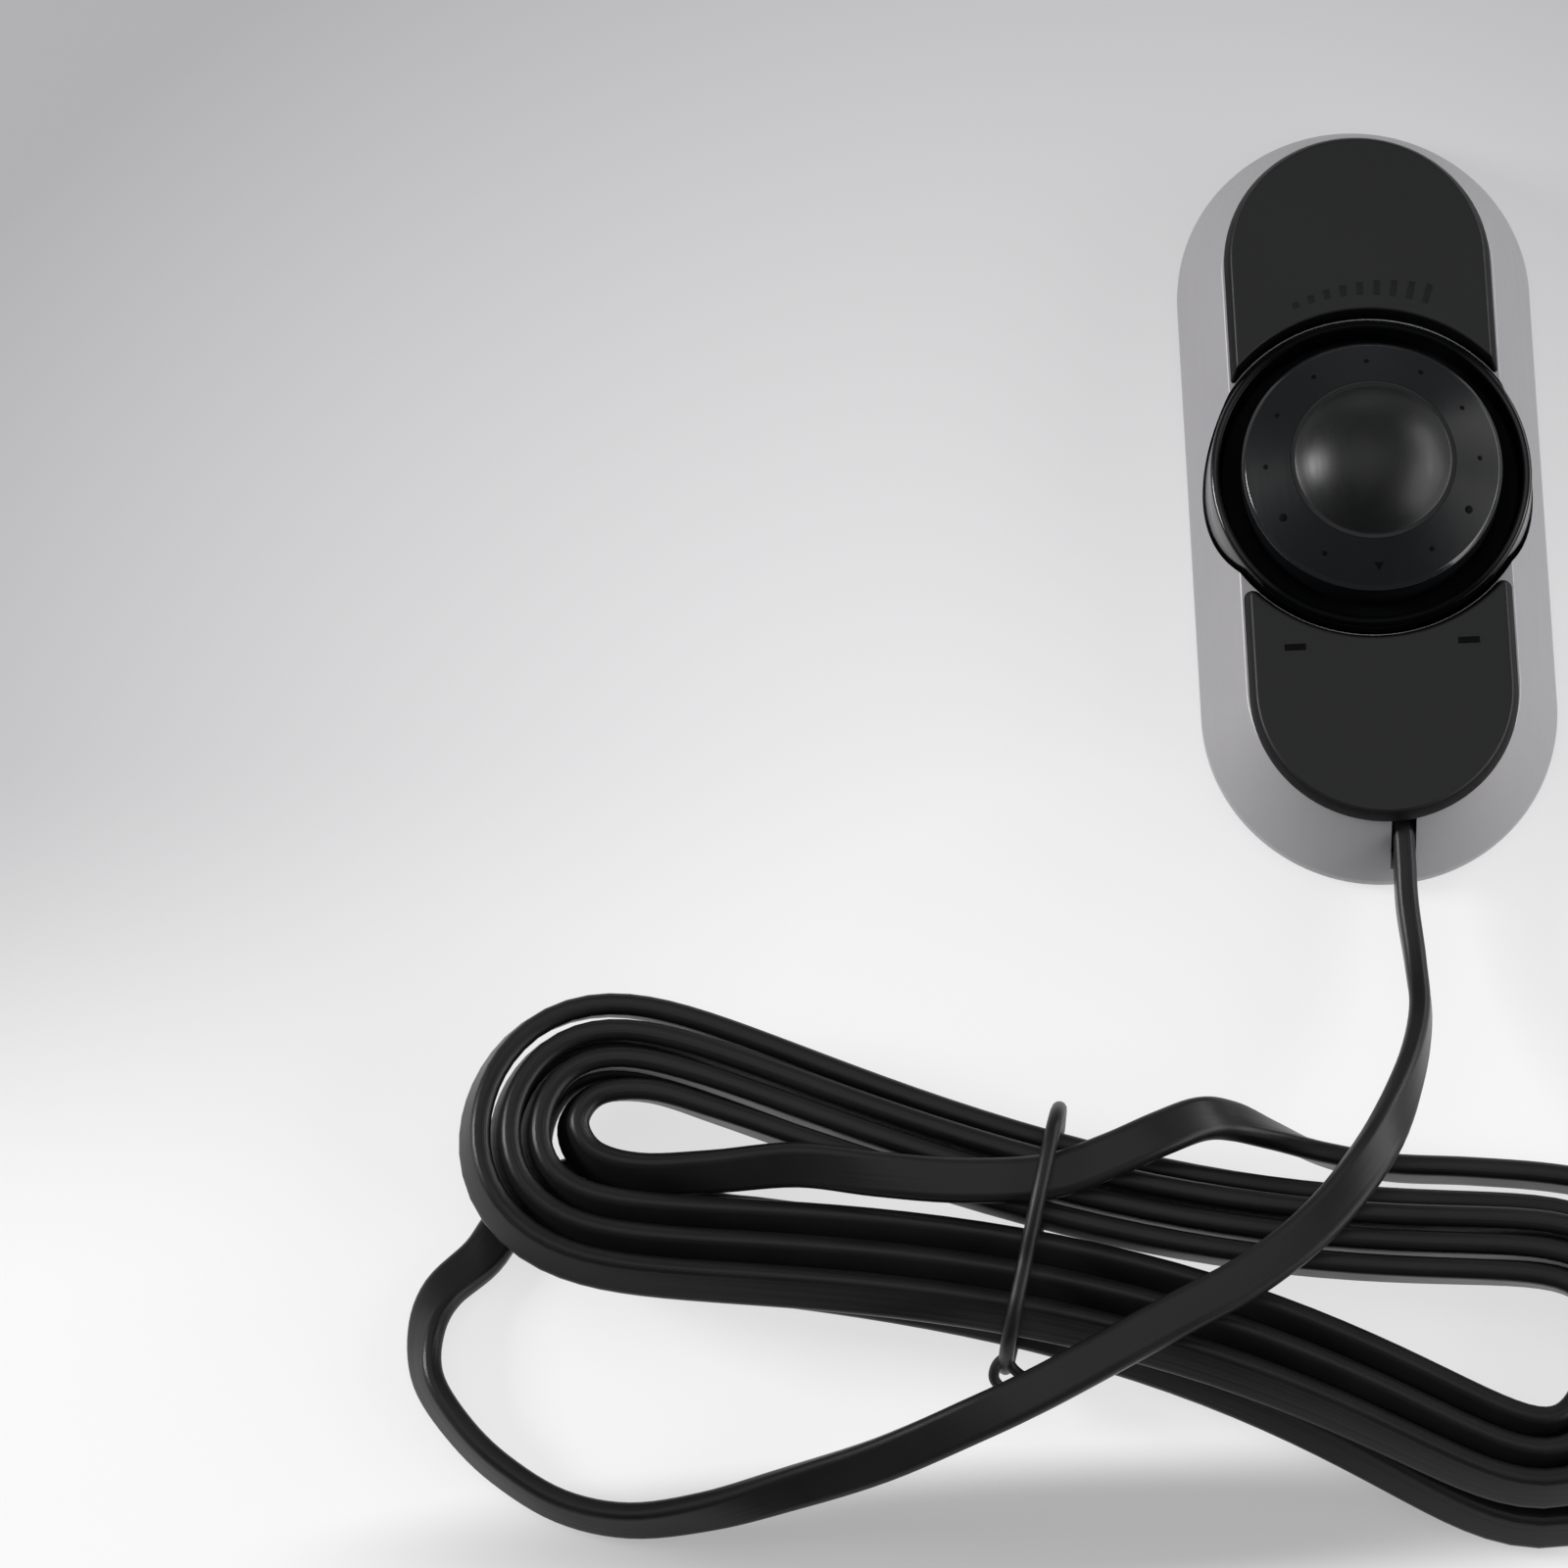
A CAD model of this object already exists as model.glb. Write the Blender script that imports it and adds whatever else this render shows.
"""Dresses the solids of a desk volume knob: case, covers, collar, dial, tied flat cord and plug."""

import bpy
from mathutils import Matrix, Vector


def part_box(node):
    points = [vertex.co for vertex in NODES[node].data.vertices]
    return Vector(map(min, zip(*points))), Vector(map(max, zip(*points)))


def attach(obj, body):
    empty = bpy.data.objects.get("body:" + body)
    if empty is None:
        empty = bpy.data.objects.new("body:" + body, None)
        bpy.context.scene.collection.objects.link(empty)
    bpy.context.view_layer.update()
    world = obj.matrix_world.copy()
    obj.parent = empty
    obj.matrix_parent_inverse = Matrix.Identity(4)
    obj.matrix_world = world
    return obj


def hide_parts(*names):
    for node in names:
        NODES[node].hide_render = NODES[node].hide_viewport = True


bl_info = {
    "name": "Inline volume knob",
    "version": (1, 0, 0),
    "blender": (4, 5, 0),
    "location": "View3D > Sidebar > Knob",
    "description": "Models a low desk volume knob on a flat cord that is wound into a tied hank",
    "category": "Add Mesh",
}

from math import atan2, cos, floor, pi, radians, sin, sqrt, tan

import bpy
from bpy.props import FloatProperty, FloatVectorProperty, PointerProperty
from bpy.types import Operator, Panel, PropertyGroup
from mathutils import Matrix, Vector

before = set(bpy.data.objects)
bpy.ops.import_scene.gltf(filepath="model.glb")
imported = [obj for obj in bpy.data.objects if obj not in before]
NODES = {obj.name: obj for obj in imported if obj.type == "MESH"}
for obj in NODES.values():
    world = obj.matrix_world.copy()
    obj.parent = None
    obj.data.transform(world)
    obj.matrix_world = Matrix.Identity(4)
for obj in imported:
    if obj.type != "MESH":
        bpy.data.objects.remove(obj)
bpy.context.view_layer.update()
SHELL_LOW, SHELL_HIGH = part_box("base_shell")
COVER_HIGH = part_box("upper_cover")[1]
COLLAR_LOW, COLLAR_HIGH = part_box("dial_collar")
DIAL_LOW, DIAL_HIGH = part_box("dial")
DOME_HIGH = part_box("dial_dome")[1]
BUSHING_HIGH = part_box("pot_bushing")[1]
HOUSING_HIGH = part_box("pot_housing")[1]
WASHER_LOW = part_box("pot_washer")[0]
SHAFT_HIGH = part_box("pot_shaft")[1]

MM = 0.001
# Points round a full turn of a lathed piece: twice an odd number, so that none lies on the X axis
TURN_SIDES = 130
# Sides of the round bar that cuts the collar's hole
BORE_SIDES = 192
# Stand-in for a radius of nothing, closed to a point afterwards
POLE = 1e-6
# Points nearer than this become one
MERGE = 2e-6
# Play between pieces that fit into each other
GAP = 0.02 * MM
# Share of a straight run that the rounding of a corner may take up
ROUND_SHARE = 0.48
# Noise mostly stays between these values
NOISE_LOW = 0.3
NOISE_HIGH = 0.7


def length_prop(label, words, default):
    """A length that a user may change, in metres."""
    return FloatProperty(name=label, description=words, default=default, unit="LENGTH", precision=5)


def colour_prop(label, words, default):
    """A colour that a user may change."""
    return FloatVectorProperty(
        name=label, description=words, default=default, subtype="COLOR", min=0, max=1)


def level_prop(label, words, default):
    """A level of light that a user may change."""
    return FloatProperty(name=label, description=words, default=default, min=0)


class CaseLook(PropertyGroup):
    """Sizes and colours of the case and its covers."""

    half_width: length_prop("Half width", "Half the width of the case at the table", SHELL_HIGH.x)
    half_length: length_prop("Half length", "Half the length of the case at the table", SHELL_HIGH.y)
    rim_height: length_prop("Rim height", "Height of the upright rim below the slope", 1.6 * MM)
    slope_in: length_prop("Slope", "How far the sloped sides lean in", 4.7 * MM)
    wall: length_prop("Wall", "Wall of the case", 1.8 * MM)
    soft_edge: length_prop("Soft edge", "Rounding of the edge below the slope", 1.1 * MM)
    cover_round: length_prop("Cover edge", "Rounding along the top edge of the covers", 0.35 * MM)
    cover_lean: length_prop("Cover lean", "How far the covers' sides lean in", 0.6 * MM)
    cover_gap: length_prop("Cover gap", "Gap between the covers and the collar", 0.2 * MM)
    paint: colour_prop("Case paint", "Silver paint of the case", (0.33, 0.322, 0.336))
    plastic: colour_prop("Cover plastic", "Black plastic of the covers", (0.0042, 0.0046, 0.0048))
    mark: colour_prop("Marks", "Sunk marks on the covers", (0.002, 0.002, 0.002))


class DialLook(PropertyGroup):
    """Sizes and colours of the dial, its dome and its collar."""

    collar_taper: length_prop("Collar taper", "How much narrower the collar is at its top", 0.5 * MM)
    collar_wall: length_prop("Collar wall", "Wall of the collar at its top", 1.1 * MM)
    side_height: length_prop("Side", "Height of the dial's upright side", 5.1 * MM)
    edge: length_prop("Edge", "Chamfer on the dial's edge", 0.4 * MM)
    seat_depth: length_prop("Seat", "Depth of the dome's seat in the dial", 1.2 * MM)
    dome_gap: length_prop("Dome gap", "Gap round the dome", 0.3 * MM)
    dome_edge: length_prop("Dome edge", "Height of the dome's upright edge", 0.9 * MM)
    dot_ring: length_prop("Dot ring", "Radius of the ring of dots", 12 * MM)
    dot_radius: length_prop("Dot", "Radius of a dot", 0.36 * MM)
    face: colour_prop("Dial plastic", "Black plastic of the dial", (0.006, 0.0066, 0.0075))
    dome: colour_prop("Dome plastic", "Black plastic of the dome", (0.003, 0.0034, 0.0036))
    gloss: colour_prop("Collar plastic", "Glossy black plastic of the collar", (0.0012, 0.0014, 0.0015))


class CordLook(PropertyGroup):
    """Sizes and colours of the cord, its tie and its plug."""

    width: length_prop("Width", "Width of the flat cord", 5.0 * MM)
    thickness: length_prop("Thickness", "Thickness of the flat cord", 2.4 * MM)
    corner: length_prop("Corner", "Rounding of the cord's edges", 0.95 * MM)
    tie_width: length_prop("Tie", "Width of the twist tie", 1.7 * MM)
    jacket: colour_prop("Jacket", "Black jacket of the cord", (0.006, 0.006, 0.0063))
    tie: colour_prop("Tie", "Black sleeve of the tie", (0.004, 0.004, 0.0042))
    plug: colour_prop("Plug", "Clear plastic of the plug", (0.72, 0.76, 0.78))


class StageLook(PropertyGroup):
    """Colours and levels of the studio."""

    floor_white: colour_prop("Floor", "White of the floor in front", (0.97, 0.97, 0.975))
    floor_near: colour_prop("Backdrop, near", "Pale grey behind the cord", (0.9, 0.9, 0.91))
    floor_far: colour_prop("Backdrop, far", "Grey in the far corner", (0.44, 0.44, 0.45))
    floor_shade: colour_prop("Shade", "Soft shade on the floor in front of the hank", (0.3, 0.3, 0.305))
    floor_glow: level_prop("Floor glow", "Share of the floor's colour that no shadow reaches", 0.7)
    sky: level_prop("Sky", "Level of the light all round", 1.0)
    sky_front: colour_prop("Sky, front", "Light from the camera's side", (0.13, 0.13, 0.133))
    sky_back: colour_prop("Sky, back", "Light from behind", (0.28, 0.28, 0.284))
    key: level_prop("Key", "Power in watts that each soft lamp takes a share of", 7.2)


def start_clean():
    """Leaves edit mode and clears the selection."""
    if bpy.context.object and bpy.context.object.mode != "OBJECT":
        bpy.ops.object.mode_set(mode="OBJECT")
    bpy.ops.object.select_all(action="DESELECT")


def make_active(piece):
    """Selects one piece alone and makes it active."""
    start_clean()
    piece.select_set(True)
    bpy.context.view_layer.objects.active = piece


def face_outward(piece):
    """Turns the faces of a piece outward."""
    make_active(piece)
    bpy.ops.object.mode_set(mode="EDIT")
    bpy.ops.mesh.select_all(action="SELECT")
    bpy.ops.mesh.normals_make_consistent(inside=False)
    bpy.ops.object.mode_set(mode="OBJECT")


def soften(piece, amount):
    """Bevels every edge of a small piece."""
    make_active(piece)
    bpy.ops.object.mode_set(mode="EDIT")
    bpy.ops.mesh.select_all(action="SELECT")
    bpy.ops.mesh.bevel(offset=amount, segments=2)
    bpy.ops.object.mode_set(mode="OBJECT")


def joined(pieces):
    """Joins pieces into the first of them."""
    make_active(pieces[0])
    for piece in pieces:
        piece.select_set(True)
    bpy.ops.object.join()
    return pieces[0]


def rounded(profile, steps=5):
    """Rounds the corners of a profile of (radius, height, rounding) and gives (radius, height)."""
    out = []
    last = len(profile) - 1
    for i, (r, z, rounding) in enumerate(profile):
        if rounding <= 0 or i in (0, last):
            out.append((r, z))
            continue
        here = Vector((r, z))
        back = Vector(profile[i - 1][:2]) - here
        ahead = Vector(profile[i + 1][:2]) - here
        half = back.angle(ahead) / 2
        reach = min(rounding / tan(half), ROUND_SHARE * back.length, ROUND_SHARE * ahead.length)
        radius = reach * tan(half)
        centre = here + (back.normalized() + ahead.normalized()).normalized() * (radius / sin(half))
        first = here + back.normalized() * reach - centre
        final = here + ahead.normalized() * reach - centre
        turn = first.angle_signed(final)
        for k in range(steps + 1):
            spot = centre + Matrix.Rotation(-turn * k / steps, 2) @ first
            out.append((spot.x, spot.y))
    return out


def turned(profile, sides=TURN_SIDES):
    """Turns a profile of (radius, height): a ring is extruded and resized from station to station."""
    start_clean()
    radius, height = profile[0]
    radius = max(radius, POLE)
    bpy.ops.mesh.primitive_circle_add(vertices=sides, radius=radius, location=(0, 0, height))
    piece = bpy.context.object
    bpy.ops.object.transform_apply(location=True, rotation=True, scale=True)
    bpy.ops.object.mode_set(mode="EDIT")
    bpy.ops.mesh.select_all(action="SELECT")
    for r, z in profile[1:]:
        r = max(r, POLE)
        bpy.ops.mesh.extrude_region_move(TRANSFORM_OT_translate={"value": (0, 0, z - height)})
        grow = r / radius
        bpy.ops.transform.resize(value=(grow, grow, 1), center_override=(0, 0, z))
        radius = r
        height = z
    bpy.ops.mesh.select_all(action="SELECT")
    bpy.ops.mesh.remove_doubles(threshold=MERGE)
    face_outward(piece)
    return piece


def select_points(piece, test):
    """Enters edit mode with the points selected whose place passes a test."""
    make_active(piece)
    bpy.ops.object.mode_set(mode="EDIT")
    bpy.ops.mesh.select_mode(type="VERT")
    bpy.ops.mesh.select_all(action="DESELECT")
    bpy.ops.object.mode_set(mode="OBJECT")
    for point in piece.data.vertices:
        point.select = test(point.co)
    bpy.ops.object.mode_set(mode="EDIT")


def stretch(piece, spine):
    """Draws a round piece out along Y into a stadium with straight sides of twice the spine."""
    for side in (-1, 1):
        select_points(piece, lambda co, side=side: co.y * side > 0)
        bpy.ops.transform.translate(value=(0, side * spine, 0))
        bpy.ops.object.mode_set(mode="OBJECT")


def steps_between(first, final, steps):
    """Even steps from one value to another, both ends included."""
    return [first + (final - first) * k / steps for k in range(steps + 1)]


def raised_rings(rings):
    """A solid raised from ring to ring of points: a filled circle is reshaped, extruded and reshaped."""
    start_clean()
    bpy.ops.mesh.primitive_circle_add(vertices=len(rings[0]), radius=COVER_HIGH.x, fill_type="NGON")
    piece = bpy.context.object
    for point, spot in zip(piece.data.vertices, rings[0]):
        point.co = spot
    for before, after in zip(rings, rings[1:]):
        bpy.ops.object.mode_set(mode="EDIT")
        bpy.ops.mesh.extrude_region_move(TRANSFORM_OT_translate={"value": (0, 0, 0)})
        bpy.ops.object.mode_set(mode="OBJECT")
        for point in piece.data.vertices:
            if point.select:
                nearest = min(range(len(before)), key=lambda k: (before[k] - point.co).length_squared)
                point.co = after[nearest]
    face_outward(piece)
    return piece


def cut_away(piece, cutter):
    """Cuts one solid out of another and drops the cutter."""
    make_active(piece)
    cut = piece.modifiers.new("cut", "BOOLEAN")
    cut.object = cutter
    cut.operation = "DIFFERENCE"
    cut.solver = "EXACT"
    bpy.ops.object.modifier_apply(modifier=cut.name)
    bpy.data.objects.remove(cutter)


def box_cutter(low, high):
    """A block between two corners, for cutting."""
    start_clean()
    middle = (Vector(low) + Vector(high)) / 2
    bpy.ops.mesh.primitive_cube_add(size=1, location=middle, scale=Vector(high) - Vector(low))
    bpy.ops.object.transform_apply(location=True, rotation=True, scale=True)
    return bpy.context.object


def post_cutter(radius, low, high):
    """An upright round bar on the dial's axis, for cutting."""
    start_clean()
    bpy.ops.mesh.primitive_cylinder_add(
        vertices=BORE_SIDES, radius=radius, depth=high - low, location=(0, 0, (low + high) / 2))
    bpy.ops.object.transform_apply(location=True, rotation=True, scale=True)
    return bpy.context.object


def settle(piece, name, body, material, nodes=(), angle=32):
    """Names a piece, shades it smooth below an angle and ties it to its body, its finish and its nodes."""
    make_active(piece)
    bpy.ops.object.transform_apply(location=True, rotation=True, scale=True)
    piece.name = name
    piece.data.name = name
    piece.data.materials.clear()
    piece.data.materials.append(material)
    bpy.ops.object.shade_smooth_by_angle(angle=radians(angle))
    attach(piece, body)
    if nodes:
        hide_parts(*nodes)
    return piece


def link(tree, a, b):
    """Joins an output to an input."""
    tree.links.new(a, b)


def moulded_finish():
    """Shared finish: fine grain, soft blotches and hairline rubs over a surface."""
    group = bpy.data.node_groups.get("moulded_finish")
    if group:
        return group
    group = bpy.data.node_groups.new("moulded_finish", "ShaderNodeTree")
    for name, default in (("Grain Scale", 2500), ("Blotch Scale", 60), ("Rub Scale", 1600)):
        socket = group.interface.new_socket(name, in_out="INPUT", socket_type="NodeSocketFloat")
        socket.default_value = default
    for name in ("Grain", "Blotch", "Rub"):
        group.interface.new_socket(name, in_out="OUTPUT", socket_type="NodeSocketFloat")
    nodes = group.nodes
    source = nodes.new("NodeGroupInput")
    sink = nodes.new("NodeGroupOutput")
    place = nodes.new("ShaderNodeTexCoord")
    # Each noise with its detail and its scale on X, Y and Z: rubs run along Y
    for name, detail, squeeze in (
            ("Grain", 3, (1, 1, 1)), ("Blotch", 4, (1, 1, 1)), ("Rub", 2, (1, 0.06, 1))):
        noise = nodes.new("ShaderNodeTexNoise")
        noise.inputs["Detail"].default_value = detail
        lay = nodes.new("ShaderNodeMapping")
        lay.inputs["Scale"].default_value = squeeze
        link(group, place.outputs["Object"], lay.inputs["Vector"])
        link(group, lay.outputs["Vector"], noise.inputs["Vector"])
        link(group, source.outputs[name + " Scale"], noise.inputs["Scale"])
        link(group, noise.outputs["Fac"], sink.inputs[name])
    return group


def ranged(tree, value, low, high, to_low=0.0, to_high=1.0, kind="LINEAR"):
    """Maps a value from one range to another."""
    node = tree.nodes.new("ShaderNodeMapRange")
    node.interpolation_type = kind
    node.inputs["From Min"].default_value = low
    node.inputs["From Max"].default_value = high
    node.inputs["To Min"].default_value = to_low
    node.inputs["To Max"].default_value = to_high
    link(tree, value, node.inputs["Value"])
    return node.outputs["Result"]


def spread(tree, value, low, high):
    """Maps a noise value to a range."""
    return ranged(tree, value, NOISE_LOW, NOISE_HIGH, low, high)


def worked(tree, operation, first, second=None):
    """The result of a sum on one output and, where it takes two, another output or a number."""
    node = tree.nodes.new("ShaderNodeMath")
    node.operation = operation
    link(tree, first, node.inputs[0])
    if isinstance(second, bpy.types.NodeSocket):
        link(tree, second, node.inputs[1])
    elif second is not None:
        node.inputs[1].default_value = second
    return node.outputs["Value"]


def along_axis(tree, axis, kind="Object"):
    """The place of a surface along one axis."""
    place = tree.nodes.new("ShaderNodeTexCoord")
    axes = tree.nodes.new("ShaderNodeSeparateXYZ")
    link(tree, place.outputs[kind], axes.inputs["Vector"])
    return axes.outputs[axis]


def colour_mix(tree, factor, first, second):
    """Mixes two colours, each a colour or an output, by a factor."""
    node = tree.nodes.new("ShaderNodeMix")
    node.data_type = "RGBA"
    inputs = [s for s in node.inputs if s.type == "RGBA"]
    for socket, colour in zip(inputs, (first, second)):
        if isinstance(colour, bpy.types.NodeSocket):
            link(tree, colour, socket)
        else:
            socket.default_value = (*tuple(colour)[:3], 1)
    link(tree, factor, node.inputs["Factor"])
    return [s for s in node.outputs if s.type == "RGBA"][0]


def blended(tree, value, first, second):
    """Mixes two colours by a noise value."""
    return colour_mix(tree, spread(tree, value, 0, 1), first, second)


def raised(tree, shader, height, depth):
    """Gives a shader the relief of a height, its depth in metres."""
    bump = tree.nodes.new("ShaderNodeBump")
    bump.inputs["Strength"].default_value = 1.0
    bump.inputs["Distance"].default_value = depth
    link(tree, height, bump.inputs["Height"])
    link(tree, bump.outputs["Normal"], shader.inputs["Normal"])


def finish(name, colour, rough, rough_spread, grain, depth, metallic=0.0, lighten=1.25, gloss=0.5):
    """A moulded or painted finish: a colour that varies softly, with grain and hairline rubs."""
    material = bpy.data.materials.get(name)
    if material:
        return material
    material = bpy.data.materials.new(name)
    material.use_nodes = True
    tree = material.node_tree
    shader = tree.nodes["Principled BSDF"]
    group = tree.nodes.new("ShaderNodeGroup")
    group.node_tree = moulded_finish()
    group.inputs["Grain Scale"].default_value = grain
    colour = tuple(colour)[:3]
    other = tuple(min(1.0, c * lighten) for c in colour)
    link(tree, blended(tree, group.outputs["Blotch"], colour, other), shader.inputs["Base Color"])
    link(tree, spread(tree, group.outputs["Rub"], rough - rough_spread, rough + rough_spread),
        shader.inputs["Roughness"])
    shader.inputs["Metallic"].default_value = metallic
    shader.inputs["Specular IOR Level"].default_value = gloss
    raised(tree, shader, group.outputs["Grain"], depth)
    return material


# Finishes of the pieces that show, each with its roughness and its spread, its grain to the metre and the
# grain's depth
def case_paint(look):
    return finish(
        "silver case paint", look.paint, 0.42, 0.04, 5200, 0.006 * MM, metallic=0.25, lighten=1.06)


def cover_plastic(look):
    return finish("satin cover plastic", look.plastic, 0.45, 0.012, 3200, 0.012 * MM, gloss=0.36)


def dial_plastic(look):
    return finish("satin dial plastic", look.face, 0.29, 0.015, 4200, 0.004 * MM, gloss=0.24)


def dome_plastic(look):
    return finish("dome plastic", look.dome, 0.4, 0.03, 4200, 0.003 * MM, gloss=0.4)


def collar_gloss(look):
    """Glossy at the sides, and duller where the lip runs along the covers."""
    material = finish("glossy collar plastic", look.gloss, 0.15, 0.03, 900, 0.001 * MM)
    tree = material.node_tree
    away = worked(tree, "ABSOLUTE", along_axis(tree, "Y"))
    glossy_to = 0.4 * COLLAR_HIGH.x
    dull_from = 0.75 * COLLAR_HIGH.x
    gloss = ranged(tree, away, glossy_to, dull_from, to_low=0.4, to_high=0.04)
    link(tree, gloss, tree.nodes["Principled BSDF"].inputs["Specular IOR Level"])
    return material


def edge_gloss(look):
    return finish("polished dial edge", look.face, 0.14, 0.03, 1500, 0.001 * MM, gloss=0.7)


def mark_black(look):
    return finish("sunk marks", look.mark, 0.6, 0.06, 3000, 0.01 * MM, gloss=0.05)


def faint_black(look):
    return finish("faint marks", look.plastic, 0.5, 0.05, 3000, 0.01 * MM, gloss=0.2)


def side_black(look):
    return finish("dull cover sides", look.mark, 0.5, 0.05, 3200, 0.01 * MM, gloss=0.1)


def well_black(look):
    return finish("dull well plastic", look.gloss, 0.6, 0.06, 2500, 0.01 * MM, gloss=0.08)


# Camera: where it looks, how far off it stands and its turn, in millimetres and degrees
VIEW_TARGET = Vector((-67.15, -29.36, 0.0)) * MM
VIEW_DISTANCE = 1300 * MM
VIEW_AZIMUTH = radians(-2.72)
VIEW_ELEVATION = radians(73.07)
VIEW_ROLL = radians(0.13)
VIEW_SENSOR = 36.0
VIEW_LENS = 265.81


class KNOB_OT_stage(Operator):
    """Sets up the pale floor, the soft lamps and the camera."""

    bl_idname = "knob.stage"
    bl_label = "Stage"
    # The floor, in metres: its side, the middle of its pale pool and where the pool starts to fade and ends
    FLOOR_SIDE = 6
    POOL_MIDDLE = (-0.03, -0.075)
    POOL_FADE = (0.045, 0.171)
    # Places along Y between which the grey backdrop turns into the white front
    FRONT_FADE = (-0.02, -0.085)
    # The shade in front of the hank: middle, half length and half depth, its soft edge and its strength
    SHADE_MIDDLE = (-0.04, -0.1165)
    SHADE_HALF = (0.095, 0.0105)
    SHADE_FADE = (1.0, 0.35)
    SHADE_STRENGTH = 0.72
    # Directions along Y between which the sky turns from its front level to its back level
    SKY_FADE = (-0.8, 0.9)
    # Where the lamps point, and the soft boxes: place, width and height in metres, share of the key power
    AIM = Vector((0, 0, 0.012))
    LAMPS = (
        ("left box", (-0.93, 0.16, 0.42), 0.3, 0.26, 1.05),
        ("right box", (0.9, 0.34, 0.36), 0.8, 0.34, 0.52),
        ("right fill", (1.2, -0.4, 0.6), 1.2, 0.9, 1.4),
        ("back box", (0.0, 1.15, 0.22), 0.6, 0.3, 0.04),
        ("top box", (-0.15, 0.1, 1.2), 1.0, 1.0, 0.3))

    def execute(self, context):
        look = context.scene.knob_stage
        context.scene.view_settings.view_transform = "Standard"
        self.camera(context)
        self.floor(look)
        self.lamps(context, look)
        return {"FINISHED"}

    def camera(self, context):
        view = Vector((
            -sin(VIEW_AZIMUTH) * cos(VIEW_ELEVATION),
            cos(VIEW_AZIMUTH) * cos(VIEW_ELEVATION),
            -sin(VIEW_ELEVATION)))
        level = Vector((cos(VIEW_AZIMUTH), sin(VIEW_AZIMUTH), 0))
        upright = level.cross(view)
        across = cos(VIEW_ROLL) * level + sin(VIEW_ROLL) * upright
        up = cos(VIEW_ROLL) * upright - sin(VIEW_ROLL) * level
        start_clean()
        bpy.ops.object.camera_add()
        camera = context.object
        camera.name = "camera"
        camera.data.lens = VIEW_LENS
        camera.data.sensor_width = VIEW_SENSOR
        camera.data.sensor_fit = "HORIZONTAL"
        camera.data.clip_start = 0.1
        camera.data.clip_end = 10
        turn = Matrix((across, up, -view)).transposed().to_4x4()
        camera.matrix_world = Matrix.Translation(VIEW_TARGET - view * VIEW_DISTANCE) @ turn
        context.scene.camera = camera

    def reach(self, tree, middle, half):
        """How far a spot of the floor lies from a middle, in parts of half a length and half a depth."""
        place = tree.nodes.new("ShaderNodeTexCoord")
        shift = tree.nodes.new("ShaderNodeMapping")
        shift.inputs["Location"].default_value = (-middle[0] / half[0], -middle[1] / half[1], 0)
        shift.inputs["Scale"].default_value = (1 / half[0], 1 / half[1], 1)
        link(tree, place.outputs["Object"], shift.inputs["Vector"])
        far = tree.nodes.new("ShaderNodeVectorMath")
        far.operation = "LENGTH"
        link(tree, shift.outputs["Vector"], far.inputs[0])
        return far.outputs["Value"]

    def floor(self, look):
        start_clean()
        bpy.ops.mesh.primitive_plane_add(size=self.FLOOR_SIDE, location=(0, 0, 0))
        floor = bpy.context.object
        floor.name = "floor"
        material = bpy.data.materials.new("pale floor")
        material.use_nodes = True
        tree = material.node_tree
        shader = tree.nodes["Principled BSDF"]
        shader.inputs["Roughness"].default_value = 0.6
        shader.inputs["Specular IOR Level"].default_value = 0.2
        # Grey that deepens with distance from the hank, and white in front
        far = ranged(tree, self.reach(tree, self.POOL_MIDDLE, (1, 1)), *self.POOL_FADE)
        back = colour_mix(tree, far, look.floor_near, look.floor_far)
        front = ranged(tree, along_axis(tree, "Y"), *self.FRONT_FADE, kind="SMOOTHSTEP")
        plain = colour_mix(tree, front, back, look.floor_white)
        # A soft oval of shade in front of the hank
        near = self.reach(tree, self.SHADE_MIDDLE, self.SHADE_HALF)
        shade = ranged(tree, near, *self.SHADE_FADE, to_high=self.SHADE_STRENGTH, kind="SMOOTHSTEP")
        whole = colour_mix(tree, shade, plain, look.floor_shade)
        link(tree, whole, shader.inputs["Base Color"])
        glow = tree.nodes.new("ShaderNodeEmission")
        link(tree, whole, glow.inputs["Color"])
        # The glow shows to the camera and in reflections, and lights nothing
        path = tree.nodes.new("ShaderNodeLightPath")
        seen = path.outputs["Is Camera Ray"]
        for kind in ("Is Glossy Ray", "Is Transmission Ray"):
            seen = worked(tree, "MAXIMUM", seen, path.outputs[kind])
        share = worked(tree, "MULTIPLY", seen, look.floor_glow)
        both = tree.nodes.new("ShaderNodeMixShader")
        link(tree, share, both.inputs["Fac"])
        link(tree, shader.outputs["BSDF"], both.inputs[1])
        link(tree, glow.outputs["Emission"], both.inputs[2])
        link(tree, both.outputs["Shader"], tree.nodes["Material Output"].inputs["Surface"])
        floor.data.materials.append(material)

    def lamps(self, context, look):
        world = bpy.data.worlds.new("studio")
        context.scene.world = world
        world.use_nodes = True
        tree = world.node_tree
        sky = tree.nodes["Background"]
        sky.inputs["Strength"].default_value = look.sky
        # The studio is brighter behind the knob than on the camera's side
        depth = ranged(tree, along_axis(tree, "Y", "Generated"), *self.SKY_FADE)
        colour = colour_mix(tree, depth, look.sky_front, look.sky_back)
        link(tree, colour, sky.inputs["Color"])
        for name, spot, wide, tall, share in self.LAMPS:
            start_clean()
            bpy.ops.object.light_add(type="AREA", location=spot)
            lamp = context.object
            lamp.name = name
            lamp.data.shape = "RECTANGLE"
            lamp.data.size = wide
            lamp.data.size_y = tall
            lamp.data.energy = look.key * share
            lamp.rotation_euler = (self.AIM - Vector(spot)).to_track_quat("-Z", "Y").to_euler()


# Route of the cord, in millimetres: the hank's loops on axes u along, v across and z up.
# Place of those axes on the table and their turn
HANK_PLACE = Vector((-42, -85.5))
HANK_TURN = radians(-16)
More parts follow.
